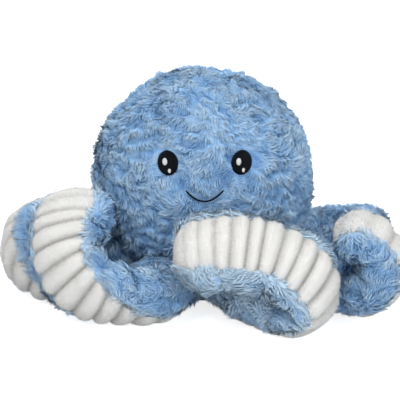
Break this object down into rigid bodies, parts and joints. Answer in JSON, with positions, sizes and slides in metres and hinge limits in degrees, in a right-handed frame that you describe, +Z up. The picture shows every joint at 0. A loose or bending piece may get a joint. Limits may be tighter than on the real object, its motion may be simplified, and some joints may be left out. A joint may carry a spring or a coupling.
{
  "type": "stuffed octopus toy",
  "caption": "Stuffed octopus: a round furry head on a flat base, with curling arms that are furry above and ribbed below, each springing at its root.",
  "frame": {"origin": "centre of the flat base panel's underside, on the surface that the toy sits on", "axes": "+Z up through the head, -Y towards the side that the face looks to, +X to the right of somebody who looks at the face"},
  "size_m": [0.3508, 0.3418, 0.194],
  "materials": {
    "fur": "long tufted pile",
    "sole": "ribbed velvet",
    "filling": "fluffed fibre",
    "thread": "satin stitch",
    "gleam": "satin stitch"
  },
  "bodies": {
    "body": {"head_fur_front": "fur", "head_fur_back": "fur", "head_filling": "filling", "base_panel": "sole", "left_eye": "thread", "left_eye_gleam_upper": "gleam", "left_eye_gleam_lower": "gleam", "right_eye": "thread", "right_eye_gleam_upper": "gleam", "right_eye_gleam_lower": "gleam", "smile": "thread"},
    "right_back_arm": {"right_back_arm_fur": "fur", "right_back_arm_sole": "sole", "right_back_arm_filling": "filling"},
    "back_right_arm": {"back_right_arm_fur": "fur", "back_right_arm_sole": "sole", "back_right_arm_filling": "filling"},
    "back_left_arm": {"back_left_arm_fur": "fur", "back_left_arm_sole": "sole", "back_left_arm_filling": "filling"},
    "left_back_arm": {"left_back_arm_fur": "fur", "left_back_arm_sole": "sole", "left_back_arm_filling": "filling"},
    "left_front_arm": {"left_front_arm_fur": "fur", "left_front_arm_sole": "sole", "left_front_arm_filling": "filling"},
    "front_left_arm": {"front_left_arm_fur": "fur", "front_left_arm_sole": "sole", "front_left_arm_filling": "filling"},
    "front_right_arm": {"front_right_arm_fur": "fur", "front_right_arm_sole": "sole", "front_right_arm_filling": "filling"},
    "right_front_arm": {"right_front_arm_fur": "fur", "right_front_arm_sole": "sole", "right_front_arm_filling": "filling"}
  },
  "joints": [
    {"name": "right_back_arm_lift", "type": "hinge", "parent": "body", "child": "right_back_arm", "pos_m": [0.07299, 0.03023, 0.025], "axis": [0.3827, -0.9239, 0], "range_deg": [-25, 10], "stiffness_Nm_per_rad": 0.12},
    {"name": "back_right_arm_lift", "type": "hinge", "parent": "body", "child": "back_right_arm", "pos_m": [0.03023, 0.07299, 0.025], "axis": [0.9239, -0.3827, 0], "range_deg": [-25, 10], "stiffness_Nm_per_rad": 0.12},
    {"name": "back_left_arm_lift", "type": "hinge", "parent": "body", "child": "back_left_arm", "pos_m": [-0.03023, 0.07299, 0.025], "axis": [0.9239, 0.3827, 0], "range_deg": [-25, 10], "stiffness_Nm_per_rad": 0.12},
    {"name": "left_back_arm_lift", "type": "hinge", "parent": "body", "child": "left_back_arm", "pos_m": [-0.07299, 0.03023, 0.025], "axis": [0.3827, 0.9239, 0], "range_deg": [-25, 10], "stiffness_Nm_per_rad": 0.12},
    {"name": "left_front_arm_lift", "type": "hinge", "parent": "body", "child": "left_front_arm", "pos_m": [-0.07299, -0.03023, 0.025], "axis": [-0.3827, 0.9239, 0], "range_deg": [-25, 10], "stiffness_Nm_per_rad": 0.12},
    {"name": "front_left_arm_lift", "type": "hinge", "parent": "body", "child": "front_left_arm", "pos_m": [-0.03023, -0.07299, 0.025], "axis": [-0.9239, 0.3827, 0], "range_deg": [-25, 10], "stiffness_Nm_per_rad": 0.12},
    {"name": "front_right_arm_lift", "type": "hinge", "parent": "body", "child": "front_right_arm", "pos_m": [0.03023, -0.07299, 0.025], "axis": [-0.9239, -0.3827, 0], "range_deg": [-25, 10], "stiffness_Nm_per_rad": 0.12},
    {"name": "right_front_arm_lift", "type": "hinge", "parent": "body", "child": "right_front_arm", "pos_m": [0.07299, -0.03023, 0.025], "axis": [-0.3827, -0.9239, 0], "range_deg": [-25, 10], "stiffness_Nm_per_rad": 0.12}
  ]
}
